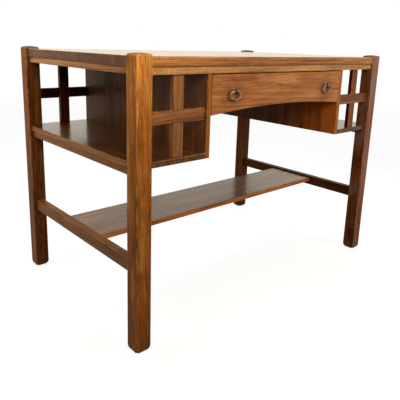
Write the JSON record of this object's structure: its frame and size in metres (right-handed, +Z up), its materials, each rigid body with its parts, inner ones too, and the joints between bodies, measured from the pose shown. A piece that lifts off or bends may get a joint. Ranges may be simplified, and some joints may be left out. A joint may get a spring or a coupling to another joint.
{
  "type": "desk",
  "caption": "Oak library desk with square posts, an arched drawer with ring pulls between slatted book compartments, and a low shelf between the end stretchers",
  "frame": {"origin": "on the floor under the middle of the desk", "axes": "+X to the sitter's right along the desk's length, +Y from the sitter to the back, +Z up"},
  "size_m": [1.07, 0.6624, 0.755],
  "materials": {
    "oak": "stained brown oak under satin lacquer",
    "top_oak": "stained brown oak under glossier lacquer",
    "inner_oak": "unstained oak, wiped with sealer",
    "plywood": "sanded birch plywood",
    "boss_bronze": "antique bronze, greenish brown",
    "ring_bronze": "antique bronze rubbed bright by hands",
    "steel": "dull steel of old nuts and screws"
  },
  "bodies": {
    "frame": {"back_panel": "oak", "book_shelf_left": "oak", "book_shelf_right": "oak", "cross_slat_back_left": "oak", "cross_slat_back_right": "oak", "cross_slat_front_left": "oak", "cross_slat_front_right": "oak", "drawer_kicker_left": "inner_oak", "drawer_kicker_right": "inner_oak", "drawer_runner_left": "inner_oak", "drawer_runner_right": "inner_oak", "drawer_stop_left": "inner_oak", "drawer_stop_right": "inner_oak", "low_shelf": "oak", "partition_left": "oak", "partition_right": "oak", "post_back_left": "oak", "post_back_right": "oak", "post_front_left": "oak", "post_front_right": "oak", "shelf_rail_left": "oak", "shelf_rail_right": "oak", "stretcher_left": "oak", "stretcher_right": "oak", "top_board": "top_oak", "top_buttons": "inner_oak", "top_rail_back": "oak", "top_rail_front": "oak", "top_rail_left": "oak", "top_rail_right": "oak", "upright_slat_back_left": "oak", "upright_slat_back_right": "oak", "upright_slat_front_left": "oak", "upright_slat_front_right": "oak"},
    "drawer": {"drawer_front": "oak", "drawer_side_left": "inner_oak", "drawer_side_right": "inner_oak", "drawer_back": "inner_oak", "drawer_bottom": "plywood", "pull_rosettes": "boss_bronze", "pull_eye_left": "boss_bronze", "pull_eye_right": "boss_bronze", "pull_nuts": "steel"},
    "left_ring": {"pull_ring_left": "ring_bronze"},
    "right_ring": {"pull_ring_right": "ring_bronze"}
  },
  "joints": [
    {"name": "drawer_slide", "type": "slide", "parent": "frame", "child": "drawer", "axis": [0, -1, 0], "range_m": [0, 0.36]},
    {"name": "left_ring_swing", "type": "hinge", "parent": "drawer", "child": "left_ring", "pos_m": [-0.2145, -0.3276, 0.6595], "axis": [-1, 0, 0], "range_deg": [-9, 180]},
    {"name": "right_ring_swing", "type": "hinge", "parent": "drawer", "child": "right_ring", "pos_m": [0.2145, -0.3276, 0.6595], "axis": [-1, 0, 0], "range_deg": [-9, 180]}
  ]
}
